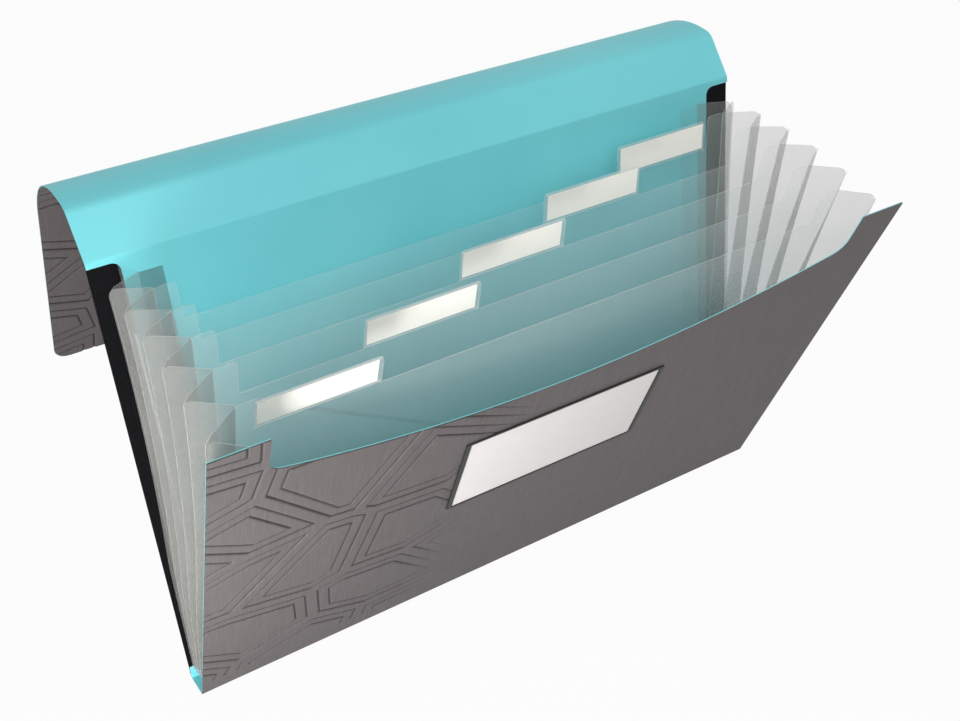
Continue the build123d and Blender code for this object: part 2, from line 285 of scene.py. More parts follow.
# %% Turquoise lining and cut edges
CLOUD, MATT_GRAIN, MATT_HEIGHT = 90.0, 0.5, 0.02     # millimetres
NICK = 3.0                                           # unevenness of the cut edge, millimetres
turquoise, tree, shader, place = new_material("matt_turquoise_polypropylene")
cloud = add(tree, "ShaderNodeTexNoise", {"Scale": 1 / (CLOUD * MM), "Detail": 2.0}, {"Vector": place})
fine = add(tree, "ShaderNodeTexNoise", {"Scale": 1 / (MATT_GRAIN * MM), "Detail": 2.0}, {"Vector": place})
tone = add(tree, "ShaderNodeMapRange", {"From Min": 0.35, "From Max": 0.65}, {"Value": cloud.outputs[0]})
colour = add(tree, "ShaderNodeMix", {6: linear("#6EC8D1"), 7: linear("#76D0D7")}, {0: tone.outputs[0]},
             data_type="RGBA")
gloss = add(tree, "ShaderNodeMapRange", {"To Min": 0.42, "To Max": 0.55}, {"Value": fine.outputs[0]})
bump = add(tree, "ShaderNodeBump", {"Strength": 0.4, "Distance": MATT_HEIGHT * MM},
           {"Height": fine.outputs[0]})
feed(tree, shader, {"IOR": PLASTIC_IOR, "Specular IOR Level": 0.3},
     {"Base Color": colour.outputs[2], "Roughness": gloss.outputs[0], "Normal": bump.outputs[0]})

cut_edge, tree, shader, place = new_material("cut_turquoise_edge")
nicks = add(tree, "ShaderNodeTexNoise", {"Scale": 1 / (NICK * MM), "Detail": 3.0}, {"Vector": place})
colour = add(tree, "ShaderNodeMix", {6: linear("#62BDC4"), 7: linear("#86D6DA")}, {0: nicks.outputs[0]},
             data_type="RGBA")
feed(tree, shader, {"Roughness": 0.6, "IOR": PLASTIC_IOR}, {"Base Color": colour.outputs[2]})
skin_finish = [grey_skin, grey_skin]          # a sheet's faces, then its cut edges
lining_finish = [turquoise, cut_edge]
print("materials:", turquoise.name, cut_edge.name)

# %% [markdown]
# ## Tools for sheets
# The cover is one sheet that is only folded, never stretched, so any part of it can be described
# by how far a point lies across the folder (x), how far along the sheet (s) and how deep in its
# thickness. A grid of such points makes a face, and its rim carried through the thickness closes
# the sheet.


# %% Mesh tools
def make_piece(name, points, faces, materials, face_slots=0, crisp=35.0):
    """Object from points in millimetres and faces; edges sharper than crisp degrees stay crisp."""
    mesh = bpy.data.meshes.new(name)
    mesh.from_pydata(np.asarray(points, float) * MM, [], faces)
    for mat in materials:
        mesh.materials.append(mat)
    slots = np.zeros(len(faces), np.int32) + face_slots
    mesh.polygons.foreach_set("material_index", slots)
    mesh.polygons.foreach_set("use_smooth", np.ones(len(faces), bool))
    work = bmesh.new()
    work.from_mesh(mesh)
    bmesh.ops.recalc_face_normals(work, faces=work.faces)
    work.to_mesh(mesh)
    work.free()
    mesh.set_sharp_from_angle(angle=radians(crisp))
    mesh.update()
    made = bpy.data.objects.new(name, mesh)
    scene.collection.objects.link(made)
    return made


def quads(index):
    """Four-sided faces between the neighbours in a grid of point numbers."""
    return np.stack([index[:-1, :-1], index[:-1, 1:], index[1:, 1:], index[1:, :-1]], -1).reshape(-1, 4)


def wall(ring_a, ring_b):
    """Faces between two closed rings of point numbers."""
    return np.stack([ring_a, np.roll(ring_a, -1), np.roll(ring_b, -1), ring_b], -1)


def upright_grid(columns, low, high, rows):
    """Columns from low to high in even rows: x, s = low + share of (high - low), point numbers."""
    s = low + np.linspace(0, 1, rows)[:, None] * (high - low)
    return np.broadcast_to(columns, s.shape), s, np.arange(s.size).reshape(s.shape)


def grid_rim(index):
    """Point numbers round the edge of a grid: first row, last column, last row, first column."""
    return np.concatenate([index[0], index[1:, -1], index[-1, -2::-1], index[-2:0:-1, 0]])


def plate(place, outline, low, high):
    """Points, faces and slots of a flat sheet: an outline (x, s) at two depths, walled between."""
    n = len(outline)
    x, s = outline[:, 0], outline[:, 1]
    points = np.concatenate([place(x, s, low), place(x, s, high)])
    ring = np.arange(n)
    return points, [ring.tolist(), (ring + n).tolist()] + wall(ring, ring + n).tolist(), [0, 0] + [1] * n


print("mesh tools ready")

# %% [markdown]
# ## Where the sheets lie
# Each flat part of the cover has its own plane. A function takes x, the distance along the sheet
# and a depth toward the lining, and gives the point in space. Directions are headings in the side
# view: 0 is up and 90 is to the rear. These are the same sizes as in the solids, so a sheet lands
# where its solid is.

# %% Planes of the folder
WIDTH, PLY = 340.0, 0.4
HALF = WIDTH / 2
HALF_SPINE, FRONT_ANGLE, POCKETS = 7.0, 29.36, 6
BACK_HEIGHT, FRONT_HEIGHT = 223.9, 217.6
PIVOT_LIFT = 1.2          # a divider's foot above the floor


def heading(h):
    """Direction (y, z) of each heading in degrees: its sine and cosine."""
    h = np.radians(h)
    return np.stack([np.sin(h), np.cos(h)], -1)


def plane(foot, h, turn):
    """Place function: foot (y, z) + s along heading h + depth along the heading turned from it."""
    along, inward = heading(h), heading(h + turn)

    def place(x, s, depth):
        x, s, depth = np.broadcast_arrays(np.asarray(x, float), s, depth)
        yz = foot + s[..., None] * along + depth[..., None] * inward
        return np.concatenate([x[..., None], yz], -1)

    return place


def panel_foot(j):
    """Foot (y, z) of panel j: even steps across the spine, the two covers lying one ply up."""
    return HALF_SPINE * (2 * j / POCKETS - 1), PLY if j in (0, POCKETS) else PIVOT_LIFT


def panel(j):
    """Plane of panel j, front (0) to back (6), leaning by its even share, with depth to the rear."""
    return plane(panel_foot(j), -FRONT_ANGLE * (POCKETS - j) / POCKETS, 90)


on_front = panel(0)
on_back = plane((HALF_SPINE, 0), 0, -90)
print("front's top corner, mm:", on_front(-HALF, FRONT_HEIGHT, 0.0).round(1))

# %% [markdown]
# ## The line of the folded sheet
# Seen from the side, the cover is one line: down the front, under the spine, up the back and over
# into the flap. Creases are small arcs between straight runs, and the flap's soft bend is one large
# arc.

# %% Section of the cover
CREASE_ROUND, TOP_ROUND, FOLD_ROUND = 1.2, 2.0, 7.0     # radii of the creases
ROOT_LENGTH, ROOT_ANGLE, FOLD_TURN = 23.5, 33.0, 37.0
BEND_TURN, BEND_LENGTH, BEND_STRIPS, MAIN_LENGTH = 77.0, 70.0, 4, 124.0
BEND_RADIUS = BEND_LENGTH / radians(BEND_TURN)


def run(start, h, near, far, n):
    """Straight run: n points from near to far along heading h, with their headings."""
    d = np.linspace(near, far, n)
    return np.asarray(start) + d[:, None] * heading(h), np.full(n, float(h))


def bent(corner, h0, h1, radius, n):
    """Arc that rounds a corner: it starts radius * tan(turn / 2) before it."""
    side = np.sign(h1 - h0)
    start = np.asarray(corner) - radius * tan(radians(abs(h1 - h0)) / 2) * heading(h0)
    centre = start + radius * heading(h0 + side * 90)
    h = np.linspace(h0, h1, n)
    return centre + radius * heading(h - side * 90), h


def joined(*runs):
    """Several runs as one line of points and headings."""
    return np.concatenate([r[0] for r in runs]), np.concatenate([r[1] for r in runs])


crease_front = np.array([-HALF_SPINE, PLY])
crease_rear = np.array([HALF_SPINE, PLY])
crease_top = np.array([HALF_SPINE, BACK_HEIGHT])
fold = crease_top + ROOT_LENGTH * heading(ROOT_ANGLE)
bend_from = ROOT_ANGLE + FOLD_TURN
bend_centre = fold + BEND_RADIUS * heading(bend_from + 90)
main_heading = bend_from + BEND_TURN


def on_bend(turn):
    """Points and headings of the soft bend, turn degrees after the second crease."""
    h = bend_from + np.asarray(turn, float)
    return bend_centre + BEND_RADIUS * heading(h - 90), h


main_start = on_bend(BEND_TURN)[0]
on_flap = plane(main_start, main_heading, -90)
print("second crease and start of the flat part, mm:", fold.round(2), main_start.round(2))

# %% [markdown]
# ## A pressed pattern
# The grey sheet has a pressed geometric relief at its left end that fades out toward the middle.
# Here it is a plain pattern of uneven, long facets: every point belongs to the nearest of some
# strewn middles, and the lines halfway between two middles are the walls. A fine groove runs on
# both sides of each wall and a second one inside each facet. The relief is real depth in the mesh,
# and the mesh also carries the wall distance, from which the material paints shade on the grooves'
# floor and draws their sharp sides.

# %% Pressed facets
CELL, STRETCH, CELL_TURN = 42.0, 1.5, -8.0       # spacing of the middles, stretch along a line turned from X
SHAKE = 0.42                                      # how far a middle strays, in spacings
GROOVE_HALF, FLOOR_SHARE = 0.9, 0.2               # half a groove's width, the share of it that is flat
BAR_RISE, GROOVE_DEPTH, INNER_RISE = 0.2, 0.34, 0.16
FADE_FROM, FADE_TO, FADE_SLANT = -70.0, -20.0, -0.22     # where the relief fades out, and its slant
FADE_LEVEL = 100.0                                # height at which the slant starts from zero
ACROSS_FROM, ACROSS_TO, UP_FROM, UP_TO = -5.0, 5.0, -2.0, 10.0     # reach of the middles, in spacings
PATTERN_SEED = 8
FAR, TINY = 1e9, 1e-9
lattice = np.meshgrid(np.arange(ACROSS_FROM, ACROSS_TO), np.arange(UP_FROM, UP_TO))
lattice = np.stack(lattice, -1).reshape(-1, 2)
lattice[:, 0] += 0.5 * (lattice[:, 1] % 2)
middles = CELL * (lattice + np.random.default_rng(PATTERN_SEED).uniform(-SHAKE, SHAKE, lattice.shape))


def ease(a, b, v):
    """Smooth step from 0 at a to 1 at b."""
    t = np.clip((v - a) / (b - a), 0, 1)
    return t * t * (3 - 2 * t)


def wall_distance(x, s):
    """Distance to the nearest facet wall, the line halfway between the two nearest middles.

    It is measured in a plane that is turned by CELL_TURN and squeezed along it by STRETCH.
    """
    a = radians(CELL_TURN)
    p, q = (x * cos(a) + s * sin(a)) / STRETCH, s * cos(a) - x * sin(a)
    near, own_p, own_q = np.full(np.shape(p), FAR), np.zeros(np.shape(p)), np.zeros(np.shape(p))
    for mp, mq in middles:
        d2 = (p - mp) ** 2 + (q - mq) ** 2
        closer = d2 < near
        near = np.where(closer, d2, near)
        own_p = np.where(closer, mp, own_p)
        own_q = np.where(closer, mq, own_q)
    best = np.full(np.shape(p), FAR)
    for mp, mq in middles:
        d2 = (p - mp) ** 2 + (q - mq) ** 2
        apart = 2 * np.hypot((own_p - mp) / STRETCH, own_q - mq)
        best = np.minimum(best, np.where(apart > 0, (d2 - near) / np.maximum(apart, TINY), FAR))
    return best


def pressed(x, s):
    """Relief at x across and s along the sheet: depth in millimetres, wall distance, and strength."""
    x, s = np.broadcast_arrays(x, s)
    d = wall_distance(x, s)
    depth = -BAR_RISE * (1 - ease(BAR_EDGE - GROOVE_HALF, BAR_EDGE, d))
    depth = depth - INNER_RISE * ease(INNER_EDGE, INNER_EDGE + GROOVE_HALF, d)
    for middle in (BAR_EDGE, INNER_EDGE):
        dent = 1 - ease(GROOVE_HALF * FLOOR_SHARE, GROOVE_HALF, np.abs(d - middle))
        depth = depth * (1 - dent) + GROOVE_DEPTH * dent
    strength = 1 - ease(FADE_FROM, FADE_TO, x + FADE_SLANT * (s - FADE_LEVEL))
    return depth * strength, d, strength


def mark(piece, wall_away, strength):
    """Keeps wall distance and strength on the points of a piece, for its material."""
    for name, values in (("wall_distance", wall_away), ("relief_strength", strength)):
        full = np.zeros(len(piece.data.vertices), np.float32)
        full[:values.size] = values.ravel()
        piece.data.attributes.new(name, "FLOAT", "POINT").data.foreach_set("value", full)


print("facet middles:", len(middles), "wall bars, mm wide:", 2 * BAR_EDGE)

# %% [markdown]
# ## The front
# The front is a flat sheet with a long finger scoop in its top edge. Columns of points stand
# closely where the relief is and further apart elsewhere, and every column ends on the scoop's
# edge. The two ears beside the scoop are small grids of their own on top.

# %% Outline of the front
SCOOP_INSET, SCOOP_FLOOR, SCOOP_RADIUS, SCOOP_FILLET = 24.5, 174.0, 500.0, 9.0
FOOT_EDGE = 12.0          # the flat sheet starts this far above the crease
ear = HALF - SCOOP_INSET
scoop_centre = SCOOP_FLOOR + SCOOP_RADIUS
fillet_x = ear - SCOOP_FILLET
fillet_s = scoop_centre - np.sqrt((SCOOP_RADIUS - SCOOP_FILLET) ** 2 - fillet_x**2)
meet_x = fillet_x * SCOOP_RADIUS / (SCOOP_RADIUS - SCOOP_FILLET)
FINE, MEDIUM, COARSE = 0.58, 1.2, 4.0     # steps of the columns: in the relief, where it fades, elsewhere
FINE_TO, MEDIUM_TO = -60.0, -5.0          # where these steps change
FILLET_POINTS = 12
arc_turn = np.arccos((meet_x - fillet_x) / SCOOP_FILLET)
fillet_columns = fillet_x + SCOOP_FILLET * np.cos(np.linspace(0, arc_turn, FILLET_POINTS))


def scoop(x):
    """Top edge between the ears: a wide arc, with a fillet at each end."""
    x = np.abs(x)
    wide = scoop_centre - np.sqrt(SCOOP_RADIUS**2 - np.minimum(x, meet_x) ** 2)
    tight = fillet_s - np.sqrt(np.maximum(SCOOP_FILLET**2 - np.maximum(x - fillet_x, 0) ** 2, 0))
    return np.where(x < meet_x, wide, tight)


def steps(a, b, size):
    """Even steps of about this size from a up to b, without b."""
    return np.linspace(a, b, max(2, int(round((b - a) / size))) + 1)[:-1]


columns = np.concatenate([
    steps(-HALF, -ear, FINE), -fillet_columns[:-1], steps(-meet_x, FINE_TO, FINE),
    steps(FINE_TO, MEDIUM_TO, MEDIUM), steps(MEDIUM_TO, meet_x, COARSE),
    fillet_columns[::-1][:-1], steps(ear, HALF, COARSE), [HALF]])
in_ear = np.abs(columns) >= ear - TINY
tops = np.where(in_ear, fillet_s, scoop(columns))
print("columns:", len(columns), "scoop end, mm:", round(float(fillet_s), 2))

# %% Grid of the front
ROWS, EAR_ROWS = 322, 22
grid_x, grid_s, low_index = upright_grid(columns, FOOT_EDGE, tops, ROWS)
ear_rows = np.linspace(fillet_s, FRONT_HEIGHT, EAR_ROWS)[1:]
left_ear, right_ear = np.flatnonzero(columns <= -ear + TINY), np.flatnonzero(columns >= ear - TINY)
flat_x, flat_s, count, ear_index = [grid_x.ravel()], [grid_s.ravel()], grid_s.size, []
for cols in (left_ear, right_ear):
    ex, es = np.meshgrid(columns[cols], ear_rows)
    new = count + np.arange(ex.size).reshape(ex.shape)
    ear_index.append(np.vstack([low_index[-1, cols], new]))
    flat_x.append(ex.ravel())
    flat_s.append(es.ravel())
    count += ex.size
flat_x, flat_s = np.concatenate(flat_x), np.concatenate(flat_s)
ear_l, ear_r = ear_index
rim = np.concatenate([
    low_index[0], low_index[1:, -1], ear_r[1:, -1], ear_r[-1, -2::-1], ear_r[-2::-1, 0],
    low_index[-1, left_ear[-1] + 1:right_ear[0]][::-1], ear_l[:, -1], ear_l[-1, -2::-1], ear_l[-2::-1, 0],
    low_index[-2:0:-1, 0]])
print("front points:", count, "of them on the rim:", len(rim))


# %% Front sheets
def relief_sheets(name, at, x, s, start, top_faces, rim):
    """Skin and lining of a flat part that starts this far along the sheet.

    The skin is all points at the relief's depth, walled down to its rim; the lining is a plate below.
    """
    depth, wall_away, strength = pressed(x, s + start)
    points = np.concatenate([at(x, s, -PLY + depth), at(x[rim], s[rim], 0.0)])
    under = x.size + np.arange(len(rim))
    faces = top_faces.tolist() + wall(rim, under).tolist() + [under.tolist()]
    slots = np.repeat([0, 1, 0], [len(top_faces), len(rim), 1])
    skin = make_piece(name + "_skin", points, faces, skin_finish, slots)
    mark(skin, wall_away, strength)
    points, faces, slots = plate(at, np.stack([x[rim], s[rim]], -1), 0.0, PLY)
    return skin, make_piece(name + "_inside", points, faces, lining_finish, slots)


top_faces = np.concatenate([quads(low_index), quads(ear_l), quads(ear_r)])
front_skin, front_inside = relief_sheets("front", on_front, flat_x, flat_s, 0.0, top_faces, rim)
for piece, node, slot in (
        (front_skin, "front_outer", "cover_skin"),
        (front_inside, "front_lining", "lining")):
    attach(piece, "front_cover")
    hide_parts(node)
print("front faces:", len(front_skin.data.polygons), len(front_inside.data.polygons))

# %% [markdown]
# ## Creased and bending strips
# Where the sheet turns, a strip is the section line carried across the folder. Its outer face has
# the relief where the relief reaches, so it has many columns; the hidden face needs two. A strip
# that crosses a hinge line is left where it is made; any other strip rides on its body.


# %% Making a strip
def strip(name, line, cols, near, far, materials, relief=None):
    """The section line (points, headings) carried along X between two depths, closed all round."""
    yz, h = line
    out = heading(h - 90)
    n, m = len(yz), len(cols)
    depth = np.full((n, m), near) if relief is None else near + relief
    face = yz[:, None, :] + depth[..., None] * out[:, None, :]
    face = np.concatenate([np.broadcast_to(cols[None, :, None], (n, m, 1)), face], -1)
    ends = cols[[0, -1]]
    back = np.broadcast_to((yz + far * out)[:, None, :], (n, 2, 2))
    back = np.concatenate([np.broadcast_to(ends[None, :, None], (n, 2, 1)), back], -1)
    a = np.arange(n * m).reshape(n, m)
    b = n * m + np.arange(n * 2).reshape(n, 2)
    sides = np.concatenate([quads(np.stack([a[:, k], b[:, k]], -1)) for k in (0, -1)])
    caps = [np.concatenate([a[k], b[k, ::-1]]).tolist() for k in (0, -1)]
    faces = quads(a).tolist() + quads(b).tolist() + sides.tolist() + caps
    slots = np.repeat([0, 1, 0], [(n - 1) * m, len(sides), len(caps)])
    points = np.concatenate([face.reshape(-1, 3), back.reshape(-1, 3)])
    return make_piece(name, points, faces, materials, slots)


def strip_pair(name, line, parts, bodies, blend_over=None, relief_s=None):
    """Skin and lining of one strip over these parts: without blend_over it rides on the first body, else it
    stays where it is made.
    """
    wide = np.array([-HALF, HALF])
    if relief_s is None:
        skin = strip(name + "_skin", line, wide, -PLY, 0.0, skin_finish)
    else:
        depth, wall_away, strength = pressed(flap_columns[None, :], relief_s[:, None])
        skin = strip(name + "_skin", line, flap_columns, -PLY, 0.0, skin_finish, depth)
        mark(skin, wall_away, strength)
    lining = strip(name + "_inside", line, wide, PLY, 0.0, lining_finish)
    for piece, ply, slot in ((skin, "outer", "cover_skin"), (lining, "lining", "lining")):
        nodes = [f"{part}_{ply}" for part in parts]
        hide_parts(*nodes)
        if blend_over is None:
            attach(piece, bodies[0])
        else:
            ends = [(0.0, *(np.asarray(p) * MM).tolist()) for p in blend_over]
            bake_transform(piece)


print("strip tools ready, width, mm:", WIDTH)

# %% Strips at the spine
ZONE = 3.0                # a crease bends this far to each side of its line
SPINE_FOOT = 6.0          # the corner strip reaches this far up the back
FRONT_ARC, REAR_ARC = 1.0, 1.3     # straight runs end this far from the corner, just outside the arc
FOOT_POINTS, CREASE_POINTS, SPINE_POINTS, HEEL_POINTS, RISE_POINTS = 16, 9, 9, 5, 3
down = 180 - FRONT_ANGLE
foot = joined(run(crease_front, down, -FOOT_EDGE, -FRONT_ARC, FOOT_POINTS),
              bent(crease_front, down, 90, CREASE_ROUND, CREASE_POINTS),
              run(crease_front, 90, FRONT_ARC, HALF_SPINE, SPINE_POINTS))
strip_pair("front_foot", foot, ["front"], ["back_cover", "front_cover"],
           (crease_front + ZONE * heading(90), crease_front - ZONE * heading(down)))
heel = joined(run((0, PLY), 90, 0, HALF_SPINE - REAR_ARC, HEEL_POINTS),
              bent(crease_rear, 90, 0, CREASE_ROUND, CREASE_POINTS),
              run(crease_rear, 0, REAR_ARC, SPINE_FOOT - PLY, RISE_POINTS))
strip_pair("spine", heel, ["spine", "back"], ["back_cover"])
print("points along the foot and the heel:", len(foot[1]), len(heel[1]))

# %% [markdown]
# ## The back
# The back has a long notch in each margin, where a flat elastic band lies. Its outline is a polygon
# with small fillets. Skin and lining are that outline between two depths each.

# %% Back sheets
NOTCH_DEPTH, NOTCH_BOTTOM, NOTCH_TOP_LAND, NOTCH_FILLET = 14.0, 7.0, 2.7, 4.0
NOTCH_POINTS = 7          # points of a fillet
notch_x, notch_top = HALF - NOTCH_DEPTH, BACK_HEIGHT - NOTCH_TOP_LAND


def quarter(cx, cs, r, k, n=6):
    """Quarter circle of n points: centre + r (cos t, sin t), with t from k to k + 1 right angles."""
    t = (k + np.linspace(0, 1, n)) * np.pi / 2
    return np.stack([cx + r * np.cos(t), cs + r * np.sin(t)], -1)


fillet_middle = notch_x + NOTCH_FILLET
lower = quarter(fillet_middle, NOTCH_BOTTOM + NOTCH_FILLET, NOTCH_FILLET, 2, NOTCH_POINTS)[::-1]
upper = quarter(fillet_middle, notch_top - NOTCH_FILLET, NOTCH_FILLET, 1, NOTCH_POINTS)[::-1]
right_half = np.concatenate([[[HALF, SPINE_FOOT], [HALF, NOTCH_BOTTOM]], lower, upper])
outline = np.concatenate([right_half, right_half[::-1] * [-1, 1]])
for name, low, high, finish, node, slot in (
        ("back_skin", -PLY, 0.0, skin_finish, "back_outer", "cover_skin"),
        ("back_inside", 0.0, PLY, lining_finish, "back_lining", "lining")):
    points, faces, slots = plate(on_back, outline, low, high)
    piece = make_piece(name, points, faces, finish, slots)
    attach(piece, "back_cover")
    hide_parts(node)
print("back outline points:", len(outline))

# %% [markdown]
# ## The flap
# The flap leaves the back at a first crease, turns again at a second one and then rolls over softly.
# The strips meet in the middle of each stiff part. The relief carries on over the rolled part.

# %% First crease
FLAP_CORNER = 8.0         # rounding of the flap's free corners
TOP_ARC = 0.8             # straight runs end this far from the crease, just outside its arc
LAND_POINTS, TOP_POINTS, ROOT_POINTS, FLAP_CORNER_POINTS = 5, 7, 12, 9
corner = quarter(HALF - FLAP_CORNER, 0, FLAP_CORNER, 0, FLAP_CORNER_POINTS)[:, 0]
flap_columns = np.concatenate([
    -corner[:-1], steps(-HALF + FLAP_CORNER, FINE_TO, FINE), steps(FINE_TO, MEDIUM_TO, MEDIUM),
    steps(MEDIUM_TO, HALF - FLAP_CORNER, COARSE), corner[::-1]])
half_root = ROOT_LENGTH / 2
at_top = joined(run(crease_top, 0, -NOTCH_TOP_LAND, -TOP_ARC, LAND_POINTS),
                bent(crease_top, 0, ROOT_ANGLE, TOP_ROUND, TOP_POINTS),
                run(crease_top, ROOT_ANGLE, TOP_ARC, half_root, ROOT_POINTS))
strip_pair("flap_crease", at_top, ["flap_root"], ["back_cover", "flap_root"],
           (crease_top - NOTCH_TOP_LAND * heading(0), crease_top + ZONE * heading(ROOT_ANGLE)))
print("flap columns:", len(flap_columns))

# %% Second crease
# A small arc touches the straight root and, from inside, the large arc of the bend. Its centre lies
# FOLD_ROUND beside the root and BEND_RADIUS - FOLD_ROUND from the bend's centre: a square equation
# for the place along the root, of which the solution nearer to the crease is taken.
FOLD_ARC = 0.1            # the straight run ends this far before the arc
BEFORE_POINTS, FOLD_POINTS, AFTER_POINTS = 14, 11, 10
strip_turn = BEND_TURN / BEND_STRIPS
along = heading(ROOT_ANGLE)
base = fold + FOLD_ROUND * heading(ROOT_ANGLE + 90) - bend_centre
apart = BEND_RADIUS - FOLD_ROUND
half_way = base @ along
spread = np.sqrt(half_way**2 - base @ base + apart**2)
arc_start = min((-half_way - spread, -half_way + spread), key=abs)
small_centre = bend_centre + base + arc_start * along
meet = (small_centre - bend_centre) / apart
meet_heading = np.degrees(np.arctan2(meet[0], meet[1])) + 90
small_h = np.linspace(ROOT_ANGLE, meet_heading, FOLD_POINTS)
small_arc = (small_centre + FOLD_ROUND * heading(small_h - 90), small_h)
after = np.linspace(meet_heading - bend_from, strip_turn / 2, AFTER_POINTS)[1:]
at_fold = joined(run(fold, ROOT_ANGLE, -half_root, arc_start - FOLD_ARC, BEFORE_POINTS),
                 small_arc, on_bend(after))
print("second crease: arc from", round(float(arc_start), 2), "mm, to heading", round(float(meet_heading), 1))

# %% Bending strips of the flap
FOLD_ZONE = 5.0           # the second crease bends this far to each side
FLAT_FROM = 8.0           # the flat sheet of the flap starts this far after the bend
STRIP_POINTS, HALF_STRIP_POINTS, TAIL_POINTS = 24, 13, 10
seam_s = [ROOT_LENGTH + BEND_LENGTH * (i + 0.5) / BEND_STRIPS for i in range(BEND_STRIPS)]


def along_seams(line, start, end):
    """Distance along the flap of each point: summed chords, scaled to run from start to end."""
    d = np.concatenate([[0], np.cumsum(np.linalg.norm(np.diff(line[0], axis=0), axis=1))])
    return start + d / d[-1] * (end - start)


pair = ["flap_root", "flap_strip_1"]
strip_pair("flap_fold", at_fold, pair, pair,
           (fold - FOLD_ZONE * along, on_bend(np.degrees(FOLD_ZONE / BEND_RADIUS))[0]),
           along_seams(at_fold, half_root, seam_s[0]))
for i in range(1, BEND_STRIPS):
    line = on_bend(np.linspace(i - 0.5, i + 0.5, STRIP_POINTS) * strip_turn)
    pair = [f"flap_strip_{i}", f"flap_strip_{i + 1}"]
    strip_pair(f"flap_bend_{i}", line, pair, pair, (line[0][0], line[0][-1]),
               along_seams(line, seam_s[i - 1], seam_s[i]))
line = joined(on_bend(np.linspace(BEND_STRIPS - 0.5, BEND_STRIPS, HALF_STRIP_POINTS) * strip_turn),
              run(main_start, main_heading, FLAT_FROM / TAIL_POINTS, FLAT_FROM, TAIL_POINTS))
main_s = ROOT_LENGTH + BEND_LENGTH
pair = [f"flap_strip_{BEND_STRIPS}", "flap"]
strip_pair("flap_tail", line, pair, pair, (line[0][0], line[0][-1]),
           along_seams(line, seam_s[-1], main_s + FLAT_FROM))
print("flap strips meet at, mm:", np.round(seam_s, 1))

# %% Flat part of the flap
FLAP_ROWS = 196
past_corner = np.maximum(np.abs(flap_columns) - HALF + FLAP_CORNER, 0)
end_s = MAIN_LENGTH - FLAP_CORNER + np.sqrt(np.maximum(FLAP_CORNER**2 - past_corner**2, 0))
grid_x, grid_s, index = upright_grid(flap_columns, FLAT_FROM, end_s, FLAP_ROWS)
flap_skin, flap_inside = relief_sheets(
    "flap", on_flap, grid_x.ravel(), grid_s.ravel(), main_s, quads(index), grid_rim(index))
for piece, node, slot in (
        (flap_skin, "flap_outer", "cover_skin"),
        (flap_inside, "flap_lining", "lining")):
    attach(piece, "flap")
    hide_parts(node)
print("flap faces:", len(flap_skin.data.polygons))

# %% [markdown]
# ## Clear film
# The dividers and gussets are thin polypropylene film. It is so thin that light isn't bent, it is
# only dimmed and scattered a little, so an even, low opacity over a pale grey does more than glass
# would. Part of the light from behind is scattered through, which keeps the pockets light. A cut
# edge gathers light along the sheet and shows as a bright line, so edges have a film material of
# their own that is much less clear.

# %% Film materials
WAVE, WAVE_HEIGHT = 45.0, 0.25            # slow ripples of the film, millimetres
HAZE_SHARE = 0.12                         # how far the opacity strays
FILM_CROSSINGS = 32                       # a line of sight may cross a dozen films of two faces each


def film(name, tint, opacity, milk, roughness, ripple):
    """Thin clear sheet with slow ripples; milk is the share that lets light through softly."""
    mat, tree, shader, place = new_material(name)
    wave = add(tree, "ShaderNodeTexNoise", {"Scale": 1 / (WAVE * MM), "Detail": 1.0}, {"Vector": place})
    haze = add(tree, "ShaderNodeMapRange",
               {"From Min": 0.3, "From Max": 0.7,
                "To Min": opacity * (1 - HAZE_SHARE), "To Max": opacity * (1 + HAZE_SHARE)},
               {"Value": wave.outputs[0]})
    bump = add(tree, "ShaderNodeBump", {"Strength": ripple, "Distance": WAVE_HEIGHT * MM},
               {"Height": wave.outputs[0]})
    feed(tree, shader, {"Base Color": linear(tint), "Roughness": roughness, "IOR": PLASTIC_IOR},
         {"Alpha": haze.outputs[0], "Normal": bump.outputs[0]})
    soft = add(tree, "ShaderNodeBsdfTranslucent", {"Color": linear(tint)})
    sheet = add(tree, "ShaderNodeMixShader", {0: milk}, {1: shader.outputs[0], 2: soft.outputs[0]})
    feed(tree, tree.nodes["Material Output"], links={"Surface": sheet.outputs[0]})
    return mat


divider_film = film("clear_divider_film", "#EDEDEB", 0.05, 0.04, 0.22, 0.5)
gusset_film = film("frosted_gusset_film", "#A8A8A4", 0.18, 0.05, 0.35, 0.1)
film_edge = film("lit_film_edge", "#EDEDEB", 0.4, 0.15, 0.4, 0.2)
scene.cycles.transparent_max_bounces = FILM_CROSSINGS
print("films:", divider_film.name, gusset_film.name, film_edge.name)

# %% [markdown]
# ## Paper and card
# The label and the tab cards are plain pale card. Card isn't one flat colour: fibres give it a
# faint mottle and a soft tooth, which are two scales of noise here. The cards are left blank.

# %% Card materials
FIBRE, TOOTH, TOOTH_HEIGHT = 5.0, 0.6, 0.02          # millimetres


def card(name, low, high):
    """Uncoated card between two tones, with a fine tooth."""
    mat, tree, shader, place = new_material(name)
    fibre = add(tree, "ShaderNodeTexNoise", {"Scale": 1 / (FIBRE * MM), "Detail": 6.0, "Roughness": 0.7},
                {"Vector": place})
    tooth = add(tree, "ShaderNodeTexNoise", {"Scale": 1 / (TOOTH * MM), "Detail": 2.0}, {"Vector": place})
    colour = add(tree, "ShaderNodeMix", {6: linear(low), 7: linear(high)}, {0: fibre.outputs[0]},
                 data_type="RGBA")
    bump = add(tree, "ShaderNodeBump", {"Strength": 0.4, "Distance": TOOTH_HEIGHT * MM},
               {"Height": tooth.outputs[0]})
    feed(tree, shader, {"Roughness": 0.85, "Specular IOR Level": 0.25},
         {"Base Color": colour.outputs[2], "Normal": bump.outputs[0]})
    return mat


